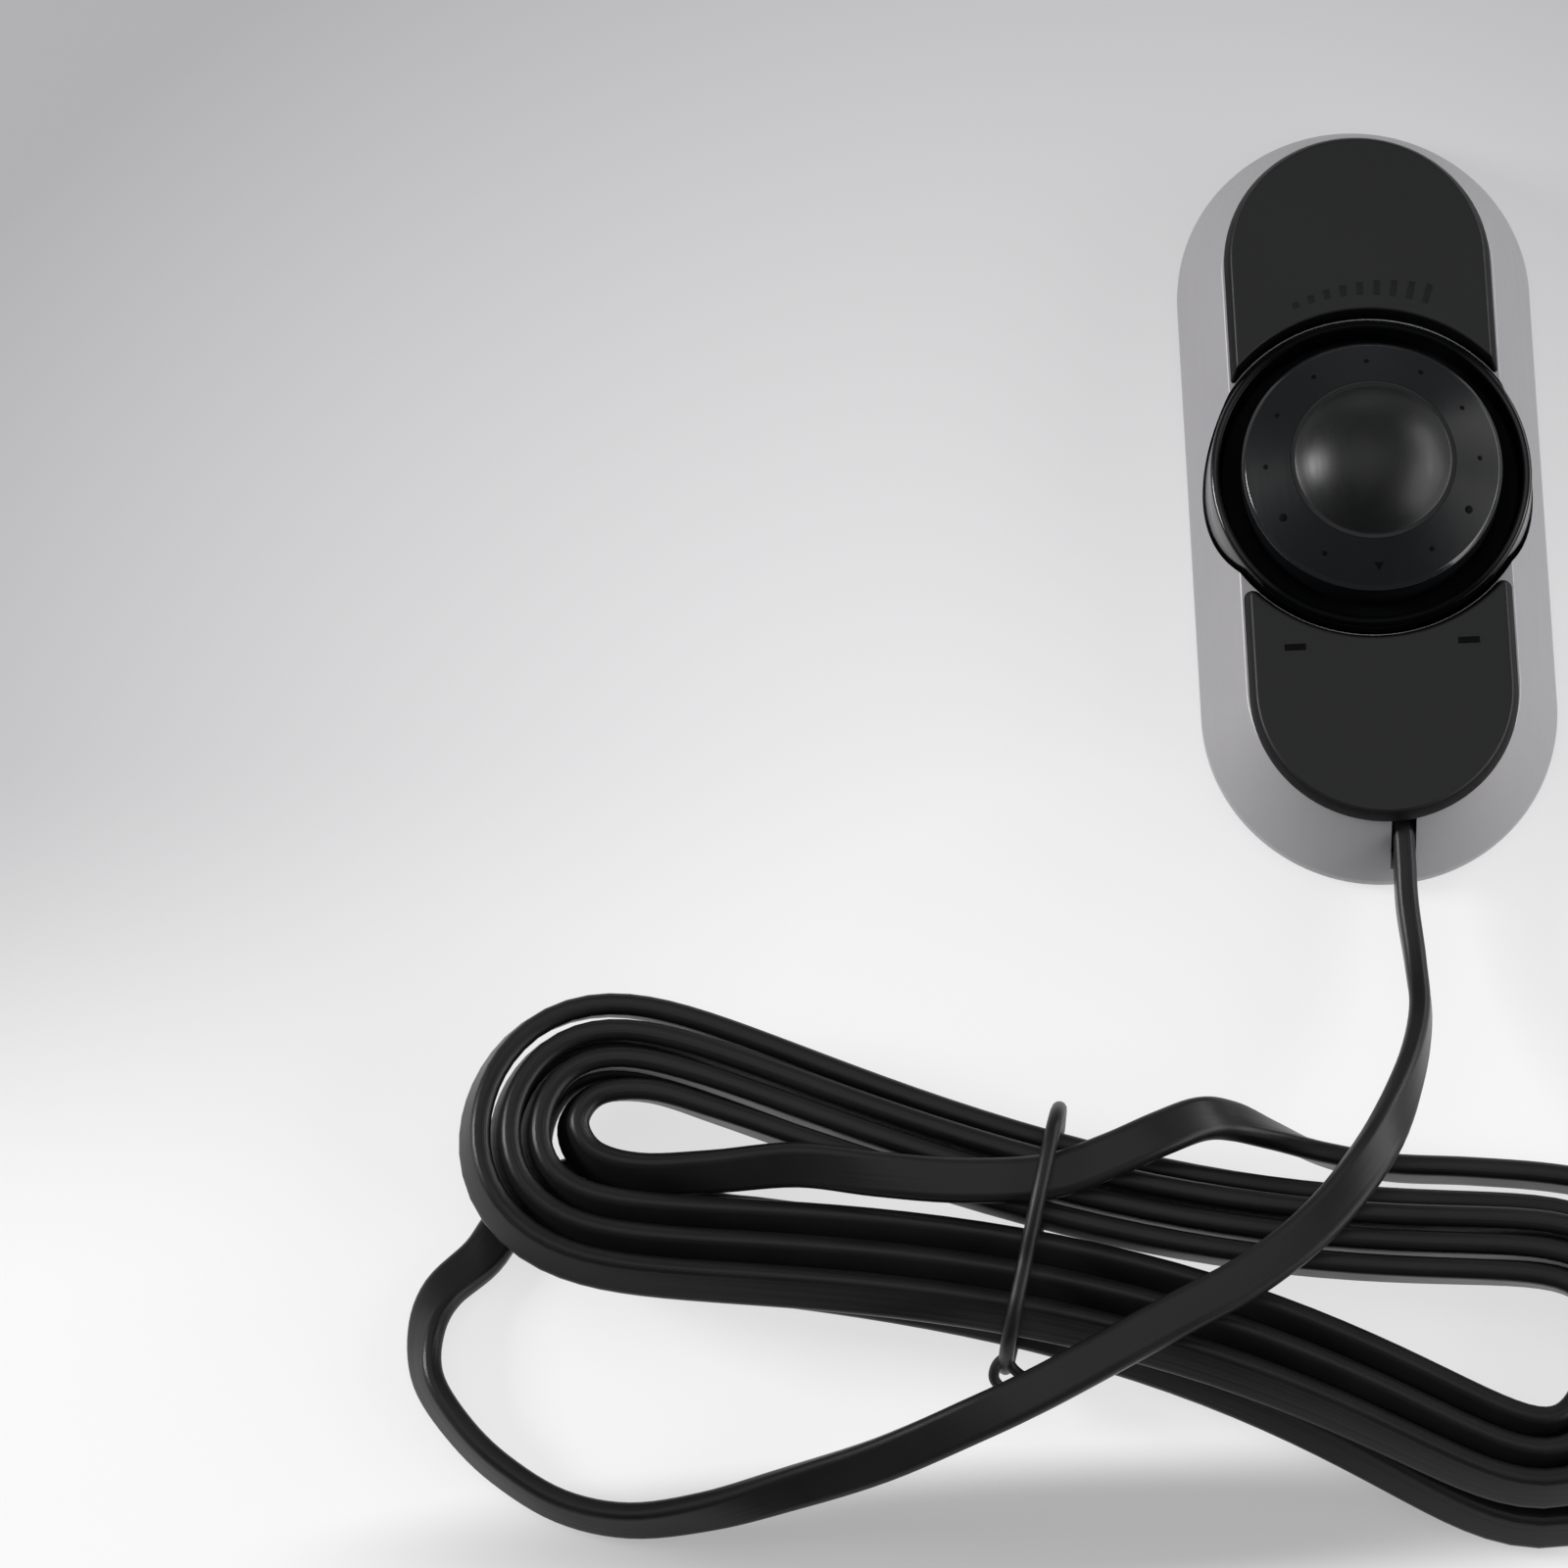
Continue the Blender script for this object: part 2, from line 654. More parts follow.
# Innermost loop: middle and half length along u, bluntness of its ends
HANK_MID = 5
HANK_HALF = 58
HANK_BLUNT = 1.3
# Half its width at the waist, the waist's shift along v, the swell of its lobes and the right one's excess
HANK_WAIST = 1.1
HANK_WAIST_SHIFT = -0.9
HANK_LOBE = 16
HANK_LOBE_MORE = 4.5
# Pitch from loop to loop, and how much it changes from side to side
HANK_PITCH = 3.3
HANK_PITCH_MORE = 0.4
# Rise of the upper layer, height of the lower one and its lift away from the right end
HANK_RISE = 6.1
HANK_LOW = 2.8
HANK_LIFT = 3.2
# Tilt of the cord in degrees, and its change from side to side
HANK_TILT = 70
HANK_TILT_MORE = 20
# Loops outside the innermost, and the turns at which the hank starts and ends
HANK_COLUMNS = 3
HANK_FROM = 0.68
HANK_TO = 6.3
# Sections in a loop of the cord, from point to point of a route and round a corner of its section
RINGS_PER_LOOP = 110
ROUTE_STEPS = 6
CORNER_STEPS = 5
# Width of the cord and depth of the dip along its middle
CORD_WIDTH = 5.0
CORD_DIP = 0.1

# Lead from the case to the hank, as x, y, z and tilt in degrees
LEAD_ROUTE = (
    (1.4, -31.5, 7.3, 90), (1.4, -38, 7.3, 90), (1.4, -44, 7.3, 90), (1.4, -49, 7.3, 90),
    (1.9, -56, 7.9, 93), (1.9, -62.5, 9.7, 98), (0, -70, 13.1, 114), (-4, -78.5, 16, 148),
    (-10.5, -86.5, 16.6, 166), (-18.5, -92.5, 16.4, 174), (-27.5, -97, 16.4, 179),
    (-38.5, -102.5, 16.3, 180), (-44, -105, 15.8, 178), (-49.5, -107, 14.3, 172), (-60, -110, 9.6, 158),
    (-71, -112, 5.4, 140),
    (-79.5, -113.5, 3.5, 122), (-88, -114, 2.9, 110), (-95.5, -112, 2.8, 105), (-102, -107.5, 2.8, 104),
    (-106.5, -102.5, 2.8, 105), (-109.5, -97, 2.8, 112), (-109.5, -91.5, 2.6, 130), (-107.5, -87, 2.1, 154),
    (-103, -83, 1.6, 174), (-99.5, -78.5, 1.5, 178), (-94, -75, 1.5, 182), (-89, -74.8, 2.1, 196),
    (-84.5, -77.5, 3.8, 214))
# Tail from the hank to the plug, on the hank's axes
TAIL_ROUTE = (
    (-37, 5.1, 11.9, 86), (-45, 5.6, 12, 80), (-50.6, 3.8, 12, 73), (-52.3, -0.1, 12, 66),
    (-49.6, -3.4, 12, 58), (-44, -3.9, 12.2, 52), (-36, -2, 13.1, 45), (-27, 0.5, 14.7, 30),
    (-18, 1.2, 15.9, 14), (-9, 2.6, 16, 6), (0, 5.2, 16, 3), (6, 9, 16, 1), (11, 13, 15.5, 0),
    (15, 16.2, 13.6, -6), (18.5, 17.6, 10.5, -28), (23, 17.9, 7.4, -58), (29, 17.8, 4.8, -82),
    (36, 18.4, 3.2, -90), (45, 20.2, 2.8, -90), (54, 21.6, 2.7, -90), (64, 22.2, 2.7, -90),
    (74, 22.6, 2.7, -75), (82, 22.8, 3, -40), (89, 22.8, 3.3, -8),
    (95, 22.8, 3.3, 0))


def hank_to_table(u, v, z):
    """A place on the hank's axes, on the table."""
    turn = Matrix.Rotation(HANK_TURN, 2)
    spot = HANK_PLACE + turn @ Vector((u, v))
    return Vector((spot.x, spot.y, z))


def loop_base(a):
    """The innermost loop of the hank."""
    c = cos(a)
    s = sin(a)
    return Vector((
        HANK_MID + HANK_HALF * (HANK_BLUNT * c - (HANK_BLUNT - 1) * c ** 3),
        s * (HANK_WAIST - HANK_WAIST_SHIFT * s + (HANK_LOBE + HANK_LOBE_MORE * c) * c * c)))


def loop_out(a):
    """The outward normal of the innermost loop."""
    step = 0.002
    along = loop_base(a + step) - loop_base(a - step)
    return Vector((along.y, -along.x)).normalized()


def hank_point(t):
    """A place and a tilt after t turns of the hank."""
    a = 2 * pi * t
    whole = floor(t)
    steps = whole + (1 - cos(pi * max(0, 2 * (t - whole) - 1))) / 2
    column = HANK_COLUMNS - abs(HANK_COLUMNS - steps)
    climb = min(1, max(0, 2 * (t - HANK_COLUMNS)))
    layer = climb * climb * (3 - 2 * climb)
    spot = loop_base(a) + column * (HANK_PITCH - HANK_PITCH_MORE * sin(a)) * loop_out(a)
    droop = (1 + cos(a)) / 2
    z = HANK_LOW + HANK_LIFT * (1 - droop * droop) + HANK_RISE * layer
    return Vector((*hank_to_table(spot.x, spot.y, z), HANK_TILT + HANK_TILT_MORE * sin(a)))


def spline(points, i, f):
    """A smooth curve through a list of points, part f of the way from point i to the next."""
    a = points[max(i - 1, 0)]
    b = points[i]
    c = points[i + 1]
    d = points[min(i + 2, len(points) - 1)]
    bend = (2 * a - 5 * b + 4 * c - d) * f ** 2
    twist = (3 * b - a - 3 * c + d) * f ** 3
    return 0.5 * (2 * b + (c - a) * f + bend + twist)


def smooth(points):
    """A list of points on the smooth curve through a route."""
    out = []
    for i in range(len(points) - 1):
        out += [spline(points, i, k / ROUTE_STEPS) for k in range(ROUTE_STEPS)]
    out.append(points[-1])
    return out


def cord_route():
    """The whole route of the cord, as places with a tilt, in millimetres and degrees."""
    count = round((HANK_TO - HANK_FROM) * RINGS_PER_LOOP)
    hank = [hank_point(HANK_FROM + (HANK_TO - HANK_FROM) * i / count) for i in range(count + 1)]
    into = (hank[1] - hank[0]).to_3d().normalized()
    onward = (hank[-1] - hank[-2]).to_3d().normalized()

    def beyond(end, heading, reach):
        return Vector((*(end.to_3d() + heading * reach), end.w))

    half_turn = Vector((0, 0, 0, 180))
    lead = [Vector(p) - half_turn for p in LEAD_ROUTE]
    lead += [beyond(hank[0], into, -2 * CORD_WIDTH), beyond(hank[0], into, -CORD_WIDTH)]
    tail = [beyond(hank[-1], onward, CORD_WIDTH), beyond(hank[-1], onward, 2 * CORD_WIDTH)]
    tail += [Vector((*hank_to_table(u, v, z), tilt)) for u, v, z, tilt in TAIL_ROUTE]
    return smooth(lead) + hank + smooth(tail)


def flat_section(width, thickness, corner):
    """Points round the cord: a flat with rounded edges and a faint dip along its middle."""
    out = []
    for sx, sy, first in ((1, 1, 0), (-1, 1, 90), (-1, -1, 180), (1, -1, 270)):
        for a in steps_between(radians(first), radians(first + 90), CORNER_STEPS):
            out.append((
                sx * (width / 2 - corner) + corner * cos(a),
                sy * (thickness / 2 - corner) + corner * sin(a)))
        if sx * sy > 0:
            out.append((0, sy * (thickness / 2 - CORD_DIP)))
    return out


def swept(name, spots, rings, closed):
    """A mesh through a list of rings of points, with a UV map in millimetres along and round it."""
    n = len(rings[0])
    count = len(rings)
    points = [p * MM for ring in rings for p in ring]
    runs = count if closed else count - 1
    faces = []
    for i in range(runs):
        j = (i + 1) % count
        faces += [(i * n + k, i * n + (k + 1) % n, j * n + (k + 1) % n, j * n + k) for k in range(n)]
    if not closed:
        faces.append(tuple(reversed(range(n))))
        faces.append(tuple(range((count - 1) * n, count * n)))
    mesh = bpy.data.meshes.new(name)
    mesh.from_pydata(points, [], faces)
    along = [0.0]
    for a, b in zip(spots, spots[1:] + spots[:1]):
        along.append(along[-1] + (b - a).length)
    layer = mesh.uv_layers.new(name="UVMap")
    for i in range(runs):
        for k in range(n):
            face = mesh.polygons[i * n + k]
            corners = ((i, k), (i, k + 1), (i + 1, k + 1), (i + 1, k))
            for loop, (ring, side) in zip(face.loop_indices, corners):
                layer.data[loop].uv = (along[ring] * MM, side / n)
    piece = bpy.data.objects.new(name, mesh)
    bpy.context.scene.collection.objects.link(piece)
    face_outward(piece)
    return piece


# The jacket: how much lighter its dull patches are, how far its roughness goes down and up, and the depth
# of its lines
JACKET_DULL = 1.5
JACKET_SPREAD = (0.04, 0.06)
JACKET_LINES = 0.03 * MM


def jacket_finish(name, colour, rough):
    """A soft black jacket with faint drawn lines along it and a few dull patches."""
    material = bpy.data.materials.new(name)
    material.use_nodes = True
    tree = material.node_tree
    shader = tree.nodes["Principled BSDF"]
    place = tree.nodes.new("ShaderNodeTexCoord")
    # Few changes along the cord and many round it
    lay = tree.nodes.new("ShaderNodeMapping")
    lay.inputs["Scale"].default_value = (14, 60, 1)
    link(tree, place.outputs["UV"], lay.inputs["Vector"])
    lines = tree.nodes.new("ShaderNodeTexNoise")
    lines.inputs["Scale"].default_value = 1
    lines.inputs["Detail"].default_value = 2
    link(tree, lay.outputs["Vector"], lines.inputs["Vector"])
    group = tree.nodes.new("ShaderNodeGroup")
    group.node_tree = moulded_finish()
    group.inputs["Blotch Scale"].default_value = 90
    # The dull patches are lighter and rougher than the rest
    colour = tuple(colour)[:3]
    dull = tuple(c * JACKET_DULL for c in colour)
    link(tree, blended(tree, group.outputs["Blotch"], colour, dull), shader.inputs["Base Color"])
    smoother, rougher = JACKET_SPREAD
    patchy = spread(tree, group.outputs["Blotch"], rough - smoother, rough + rougher)
    link(tree, patchy, shader.inputs["Roughness"])
    shader.inputs["Specular IOR Level"].default_value = 0.3
    raised(tree, shader, lines.outputs["Fac"], JACKET_LINES)
    return material


class KNOB_OT_tie(Operator):
    """Models the twist tie round the hank, with its hooked end and its straight end."""

    bl_idname = "knob.tie"
    bl_label = "Tie"
    # The loop, in millimetres: its place along the hank, its lean, and places across and above the hank
    SHIFT = -0.3
    LEAN = -0.02
    MARKS = (
        (-11.8, 1.5), (-4, 1.5), (5, 1.5), (11.5, 1.6), (13.8, 4.2), (14, 8.8), (13.9, 12.8), (11.9, 16.8),
        (8.6, 18.4), (3, 18.4), (-1.5, 17.2), (-5, 15.9), (-9.3, 15.4), (-12.9, 13), (-14.1, 8.8),
        (-14, 4.4))
    # Width of the two bare ends, and points round a wire
    END_WIDTH = 1.2
    WIRE_SIDES = 12
    # The two ends, as places along, across and above the hank
    ENDS = {
        "a": (
            (-0.1, -13.9, 9), (-0.9, -14.7, 7.6), (-0.9, -15.9, 6.2), (0.4, -16.7, 5.2), (1.9, -16.8, 4.8),
            (3.2, -16.4, 4.7), (4.4, -16, 4.8), (5.6, -15.9, 5)),
        "b": ((0.1, -14, 8.4), (1.1, -14.8, 7.6), (2.8, -15.4, 6.9), (4.6, -15.9, 6.6), (6.4, -16.4, 6.4))}

    def execute(self, context):
        look = context.scene.knob_cord
        marks = [hank_to_table(self.SHIFT + self.LEAN * v, v, z) for v, z in self.MARKS]
        count = len(marks)
        spots = []
        for i in range(count):
            four = [marks[(i + k) % count] for k in (-1, 0, 1, 2)]
            spots += [spline(four, 1, k / ROUTE_STEPS) for k in range(ROUTE_STEPS)]
        material = jacket_finish("tie sleeve", look.tie, 0.4)
        rings = self.rings(spots, look.tie_width / MM, True)
        loop = swept("twist_tie", spots, rings, True)
        settle(loop, "twist_tie", "case", material, ("cord_tie",), angle=60)
        for part, places in self.ENDS.items():
            spots = smooth([hank_to_table(*place) for place in places])
            rings = self.rings(spots, self.END_WIDTH, False)
            end = swept("twist_tie_end_" + part, spots, rings, False)
            settle(end, "twist_tie_end_" + part, "case", material, angle=60)
        return {"FINISHED"}

    def rings(self, spots, width, closed):
        """Round sections along a thin wire."""
        along = (hank_to_table(1, 0, 0) - hank_to_table(0, 0, 0)).normalized()
        if not closed:
            along = Vector((0, 0, 1))
        out = []
        last = len(spots) - 1
        for i, spot in enumerate(spots):
            after = spots[(i + 1) % len(spots)] if closed else spots[min(i + 1, last)]
            before = spots[i - 1] if closed else spots[max(i - 1, 0)]
            heading = (after - before).normalized()
            away = heading.cross(along).normalized()
            side = away.cross(heading)
            turns = [2 * pi * k / self.WIRE_SIDES for k in range(self.WIRE_SIDES)]
            out.append([spot + width / 2 * (cos(a) * away + sin(a) * side) for a in turns])
        return out


class KNOB_OT_cord(Operator):
    """Models the flat cord: its lead, the loops of its hank and its tail."""

    bl_idname = "knob.cord"
    bl_label = "Cord"

    def execute(self, context):
        look = context.scene.knob_cord
        route = cord_route()
        shape = flat_section(look.width / MM, look.thickness / MM, look.corner / MM)
        spots = [p.to_3d() for p in route]
        last = len(route) - 1
        rings = []
        for i, spot in enumerate(route):
            heading = (spots[min(i + 1, last)] - spots[max(i - 1, 0)]).normalized()
            left = Vector((-heading.y, heading.x, 0)).normalized()
            up = heading.cross(left)
            tilt = radians(spot.w)
            across = cos(tilt) * left + sin(tilt) * up
            through = heading.cross(across)
            rings.append([spots[i] + x * across + y * through for x, y in shape])
        cord = swept("flat_cord", spots, rings, False)
        material = jacket_finish("cord jacket", look.jacket, 0.34)
        stands_for = ("cord_lead", "cord_hank", "cord_tail")
        settle(cord, "flat_cord", "case", material, stands_for, angle=50)
        on_it = [bpy.data.objects[name] for name in ("twist_tie", "twist_tie_end_a", "twist_tie_end_b")]
        on_it += [NODES[name] for name in ("plug_body", "plug_contacts", "plug_latch")]
        return {"FINISHED"}


class KNOB_OT_case(Operator):
    """Models the sloped silver case, cut for the collar and the cord."""

    bl_idname = "knob.case"
    bl_label = "Case"
    # Thickness of the deck, room round and below the collar, and how far cutters stand out above
    DECK = 1.6 * MM
    COLLAR_ROOM = 0.1 * MM
    COLLAR_DROP = 0.2 * MM
    PROUD = 2 * MM
    # Rounding of the deck's edge and of the foot
    DECK_SOFT = 0.35 * MM
    FOOT_SOFT = 0.25 * MM
    # Corners of the slot in which the cord leaves, which is open above
    SLOT_LOW = (0, -60 * MM, 4.2 * MM)
    SLOT_HIGH = (2.8 * MM, -38.5 * MM)

    def execute(self, context):
        look = context.scene.knob_case
        low = SHELL_LOW.z
        top = SHELL_HIGH.z
        rim = low + look.rim_height
        wide = look.half_width
        deck = wide - look.slope_in
        under = top - self.DECK
        inner = wide - look.wall
        profile = rounded([
            (0, top, 0), (deck, top, self.DECK_SOFT), (wide, rim, look.soft_edge),
            (wide, low, self.FOOT_SOFT), (inner, low, 0), (inner, rim, 0), (deck - look.wall, under, 0),
            (0, under, 0)])
        shell = turned(profile)
        stretch(shell, look.half_length - wide)
        hole = COLLAR_HIGH.x + self.COLLAR_ROOM
        cut_away(shell, post_cutter(hole, COLLAR_LOW.z - self.COLLAR_DROP, top + self.PROUD))
        cut_away(shell, box_cutter(self.SLOT_LOW, (*self.SLOT_HIGH, top + self.PROUD)))
        settle(shell, "case_shell", "case", case_paint(look), ("base_shell",))
        return {"FINISHED"}


class KNOB_OT_covers(Operator):
    """Models the two black covers and the sunk marks on them."""

    bl_idname = "knob.covers"
    bl_label = "Covers"
    # Rounding of the corners beside the collar
    CORNERS = {"upper_cover": 0.3 * MM, "lower_cover": 1.0 * MM}
    # Height of the upright foot of the covers' sides, and the least rounding of a corner
    FOOT = 0.15 * MM
    LEAST_CORNER = 0.05 * MM
    # The soft top edge: its first slant, its steps, and the rim of the face inside it
    EDGE_FROM = radians(25)
    EDGE_STEPS = 5
    FACE_RIM = 0.2 * MM
    # Share of the rounding, from the top, that keeps the face's finish
    FACE_SHARE = 0.6
    # Points of a cover's outline: round its end, round a corner and along the bay
    END_STEPS = 48
    CORNER_STEPS = 8
    BAY_STEPS = 64
    # Dashes on the lower cover: distance from the middle, place along Y, size, height and bevel
    DASH_X = 9.7 * MM
    DASH_Y = -20.2 * MM
    DASH_SIZE = (2.4 * MM, 0.75 * MM, 0.08 * MM)
    DASH_LIFT = 0.02 * MM
    DASH_BEVEL = 0.03 * MM
    # Bars on the upper cover: how many, the shortest and what the longest adds, width, depth, height, bevel
    BARS = 9
    BAR_SHORT = 0.7 * MM
    BAR_MORE = 1.6 * MM
    BAR_WIDTH = 0.75 * MM
    BAR_DEPTH = 0.06 * MM
    BAR_LIFT = 0.01 * MM
    BAR_BEVEL = 0.025 * MM
    # Radius of the arc on which they stand, and half its opening
    BAR_ARC = 21 * MM
    BAR_TURN = radians(20)

    def execute(self, context):
        look = context.scene.knob_case
        for node, side in (("upper_cover", 1), ("lower_cover", -1)):
            cover = self.cover(look, side, self.CORNERS[node])
            settle(cover, "black_" + node, "case", cover_plastic(look), (node,))
            cover.data.materials.append(side_black(look))
            for face in cover.data.polygons:
                if face.center.z < COVER_HIGH.z - self.FACE_SHARE * look.cover_round:
                    face.material_index = 1
        self.marks(look)
        return {"FINISHED"}

    def outline(self, look, side, corner, inward, height):
        """Points round one cover, drawn in from its edge: a stadium's end with a bay for the collar."""
        wide = COVER_HIGH.x - inward
        spine = COVER_HIGH.y - COVER_HIGH.x
        bay = COLLAR_HIGH.x + look.cover_gap + inward
        corner = max(corner - inward, self.LEAST_CORNER)
        x = wide - corner
        y = sqrt((bay + corner) ** 2 - x * x)
        meet = atan2(y, x)
        end = [(wide * cos(a), spine + wide * sin(a)) for a in steps_between(0, pi, self.END_STEPS)]
        left = [
            (-x + corner * cos(a), y + corner * sin(a))
            for a in steps_between(pi, 2 * pi - meet, self.CORNER_STEPS)]
        bay_arc = [(bay * cos(a), bay * sin(a)) for a in steps_between(pi - meet, meet, self.BAY_STEPS)]
        right = [(-px, py) for px, py in reversed(left)]
        return [Vector((px, side * py, height)) for px, py in end + left + bay_arc[1:-1] + right]

    def cover(self, look, side, corner):
        low = SHELL_HIGH.z
        top = COVER_HIGH.z
        soft = look.cover_round
        rings = [self.outline(look, side, corner, 0, low)]
        rings.append(self.outline(look, side, corner, 0, low + self.FOOT))
        # A leaning side, then a small soft corner on to the face
        for a in steps_between(self.EDGE_FROM, pi / 2, self.EDGE_STEPS):
            inward = look.cover_lean + soft * (1 - cos(a))
            height = top - soft * (1 - sin(a))
            rings.append(self.outline(look, side, corner, inward, height))
        face = look.cover_lean + soft + self.FACE_RIM
        rings.append(self.outline(look, side, corner, face, top))
        return raised_rings(rings)

    def marks(self, look):
        """Two short dashes on the lower cover, and the bars on the upper one."""
        material = mark_black(look)
        for name, x in (("dash_left", -self.DASH_X), ("dash_right", self.DASH_X)):
            start_clean()
            bpy.ops.mesh.primitive_cube_add(
                size=1, location=(x, self.DASH_Y, COVER_HIGH.z + self.DASH_LIFT), scale=self.DASH_SIZE)
            dash = bpy.context.object
            bpy.ops.object.transform_apply(location=True, rotation=True, scale=True)
            soften(dash, self.DASH_BEVEL)
            settle(dash, name, "case", material)
        self.bars(look)

    def bars(self, look):
        """A rising row of faint bars on an arc over the dial."""
        made = []
        for share in steps_between(0, 1, self.BARS - 1):
            tall = self.BAR_SHORT + self.BAR_MORE * share
            start_clean()
            bpy.ops.mesh.primitive_cube_add(size=1, scale=(self.BAR_WIDTH, tall, self.BAR_DEPTH))
            bar = bpy.context.object
            bpy.ops.object.transform_apply(location=True, rotation=True, scale=True)
            soften(bar, self.BAR_BEVEL)
            turn = Matrix.Rotation(self.BAR_TURN * (1 - 2 * share), 4, "Z")
            lift = Matrix.Translation((0, self.BAR_ARC + tall / 2, COVER_HIGH.z + self.BAR_LIFT))
            bar.data.transform(turn @ lift)
            made.append(bar)
        settle(joined(made), "rising_bars", "case", faint_black(look))


class KNOB_OT_collar(Operator):
    """Models the glossy collar with the floor of the dial's well."""

    bl_idname = "knob.collar"
    bl_label = "Collar"
    # Step inside below the well's floor, rounding of the lip and the well, and of the foot
    STEP = 0.2 * MM
    SOFT = 0.5 * MM
    FOOT_SOFT = 0.1 * MM
    # Depth below the lip from which the well is dull
    DULL_FROM = 0.6 * MM

    def execute(self, context):
        look = context.scene.knob_dial
        wide = COLLAR_HIGH.x
        top = COVER_HIGH.z
        foot = COLLAR_LOW.z
        floor = WASHER_LOW.z
        under = HOUSING_HIGH.z
        upper = wide - look.collar_taper
        well = upper - look.collar_wall
        bore = BUSHING_HIGH.x + GAP
        inside = well - self.STEP
        profile = rounded([
            (bore, under, 0), (inside, under, 0), (inside, foot, 0), (wide, foot, self.FOOT_SOFT),
            (upper, top, self.SOFT), (well, top, self.SOFT), (well, floor, self.SOFT), (bore, floor, 0),
            (bore, under, 0)])
        collar = turned(profile)
        settle(collar, "gloss_collar", "case", collar_gloss(look), ("dial_collar",))
        # Inside the lip the well is dull
        collar.data.materials.append(well_black(look))
        for face in collar.data.polygons:
            middle = face.center
            if middle.to_2d().length < well + GAP and middle.z < top - self.DULL_FROM:
                face.material_index = 1
        return {"FINISHED"}


class KNOB_OT_dial(Operator):
    """Models the turning dial, its ring of dots and the domed cap."""

    bl_idname = "knob.dial"
    bl_label = "Dial"
    # Skirt, hub and web of the hollow underside, the hub's height over the bushing
    SKIRT = 1.6 * MM
    HUB = 5.2 * MM
    WEB = 1.4 * MM
    HUB_GAP = 0.5 * MM
    # Rounding of the edge and of the skirt's foot
    EDGE_SOFT = 0.25 * MM
    FOOT_SOFT = 0.3 * MM
    # Dots by hour: the pointer is a triangle, and some dots are larger than the rest
    HOURS = 12
    POINTER = 6
    SIZES = {4: 1.3, 6: 1.7, 8: 1.3}
    SMALL = 0.8
    DOT_SIDES = 16
    DOT_DEPTH = 0.08 * MM
    DOT_BEVEL = 0.02 * MM
    # Dome: share of its gap that its foot fills, share of the ball that shows, and roundings
    FILL = 0.85
    BALL_SHARE = 0.86
    BALL_STEPS = 24
    DOME_SOFT = 1.3 * MM
    SEAT_SOFT = 0.1 * MM

    def execute(self, context):
        look = context.scene.knob_dial
        wide = DIAL_HIGH.x
        low = DIAL_LOW.z
        edge = low + look.side_height
        face = DIAL_HIGH.z
        seat = face - look.seat_depth
        seat_wide = DOME_HIGH.x + look.dome_gap
        skirt = wide - self.SKIRT
        bore = SHAFT_HIGH.x + GAP
        roof = SHAFT_HIGH.z + GAP
        hub_low = BUSHING_HIGH.z + self.HUB_GAP
        profile = rounded([
            (0, seat, 0), (seat_wide, seat, 0), (seat_wide, face, 0),
            (wide - look.edge, edge, self.EDGE_SOFT), (wide, edge - look.edge, self.EDGE_SOFT),
            (wide, low, self.FOOT_SOFT), (skirt, low, 0),
            (skirt, edge - self.WEB, 0), (self.HUB, seat - self.WEB, 0), (self.HUB, hub_low, 0),
            (bore, hub_low, 0), (bore, roof, 0), (0, roof, 0)])
        dial = turned(profile)
        settle(dial, "turning_dial", "dial", dial_plastic(look), ("dial",))
        # The turned edge is polished
        dial.data.materials.append(edge_gloss(look))
        for side in dial.data.polygons:
            middle = side.center
            if middle.to_2d().length > wide - 2 * look.edge and middle.z > edge - 2 * look.edge:
                side.material_index = 1
        self.dots(look, wide, edge, face, seat_wide)
        self.dome(look, seat)
        return {"FINISHED"}

    def dots(self, look, wide, edge, face, seat_wide):
        """Small sunk dots round the face, and a pointer where the scale starts."""
        outer = wide - look.edge
        slope = (face - edge) / (outer - seat_wide)
        lean = atan2(face - edge, outer - seat_wide)
        height = edge + (outer - look.dot_ring) * slope
        material = mark_black(bpy.context.scene.knob_case)
        made = []
        for hour in range(self.HOURS):
            start_clean()
            sides = 3 if hour == self.POINTER else self.DOT_SIDES
            radius = look.dot_radius * self.SIZES.get(hour, self.SMALL)
            bpy.ops.mesh.primitive_cylinder_add(vertices=sides, radius=radius, depth=self.DOT_DEPTH)
            dot = bpy.context.object
            soften(dot, self.DOT_BEVEL)
            spin = Matrix.Rotation(-2 * pi * hour / self.HOURS, 4, "Z")
            tip = Matrix.Rotation(-lean, 4, "X")
            shift = Matrix.Translation((0, look.dot_ring, height))
            dot.data.transform(spin @ shift @ tip)
            made.append(dot)
        settle(joined(made), "dial_dots", "dial", material)

    def dome(self, look, seat):
        """The domed cap: part of a ball that runs out into a flat foot."""
        wide = DOME_HIGH.x + self.FILL * look.dome_gap
        top = DOME_HIGH.z
        side = seat + look.dome_edge
        crown = top - side
        ball = (DOME_HIGH.x ** 2 + crown * crown) / (2 * crown)
        centre = top - ball
        reach = atan2(wide, side - centre)
        face = DIAL_HIGH.z
        foot = self.BALL_SHARE * reach
        first = foot / self.BALL_STEPS
        profile = [(0, top)]
        for a in steps_between(first, foot, self.BALL_STEPS):
            profile.append((ball * sin(a), centre + ball * cos(a)))
        # Where the ball would reach the height of the dial's face
        meet = sqrt(ball * ball - (face - centre) ** 2)
        profile += rounded([
            (*profile[-1], 0), (meet, face, self.DOME_SOFT), (wide, face, 0), (wide, seat, self.SEAT_SOFT),
            (0, seat, 0)])[1:]
        dome = turned(profile)
        settle(dome, "domed_cap", "dial", dome_plastic(look), ("dial_dome",))


